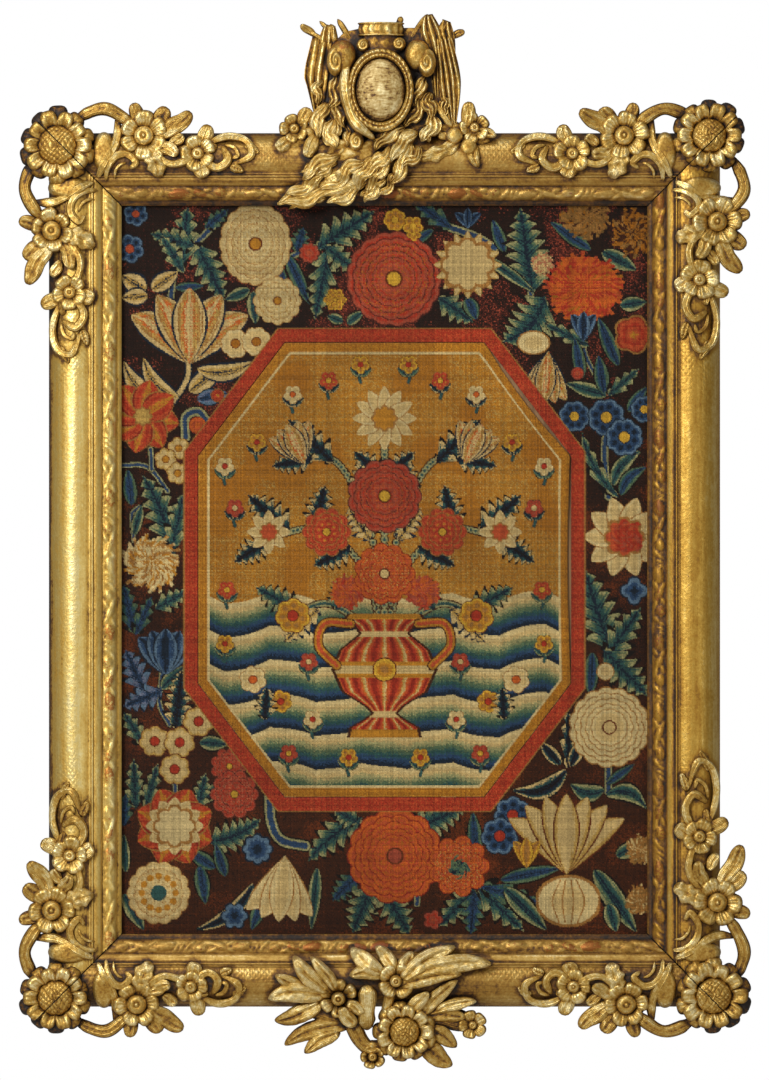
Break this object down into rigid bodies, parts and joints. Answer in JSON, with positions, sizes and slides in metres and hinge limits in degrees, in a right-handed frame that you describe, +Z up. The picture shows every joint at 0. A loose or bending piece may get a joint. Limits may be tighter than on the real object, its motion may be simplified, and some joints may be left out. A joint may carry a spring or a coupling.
{
  "type": "framed needlepoint picture",
  "caption": "Upright needlepoint picture, an octagon let into a flowered border, in a carved and gilded wooden frame with crest, corner flowers and foot bouquet.",
  "frame": {"origin": "centre of the top rail's back face, against the wall", "axes": "+Z up the wall, +Y into the wall, +X to the viewer's right; the picture faces -Y"},
  "size_m": [0.733, 0.059, 1.0555],
  "materials": {
    "gilding": "water-gilded over red clay, burnished and worn",
    "worn_gilding": "gilded, finely scratched and worn",
    "border_stitches": "wool stitches on canvas, matt",
    "medallion_stitches": "fine wool and silk stitches on canvas, matt",
    "board": "raw, planed"
  },
  "bodies": {
    "root": {"needlepoint_border": "border_stitches", "needlepoint_medallion": "medallion_stitches", "backing_board": "board", "crest_boss": "worn_gilding", "rail_top": "gilding", "rail_right": "gilding", "rail_bottom": "gilding", "rail_left": "gilding", "crest_carving": "gilding", "foot_bouquet": "gilding", "sunflower_top_left": "gilding", "sunflower_top_right": "gilding", "sunflower_bottom_left": "gilding", "sunflower_bottom_right": "gilding", "spray_top_left_across": "gilding", "spray_top_left_upright": "gilding", "spray_top_right_across": "gilding", "spray_top_right_upright": "gilding", "spray_bottom_left_across": "gilding", "spray_bottom_left_upright": "gilding", "spray_bottom_right_across": "gilding", "spray_bottom_right_upright": "gilding"}
  },
  "joints": []
}
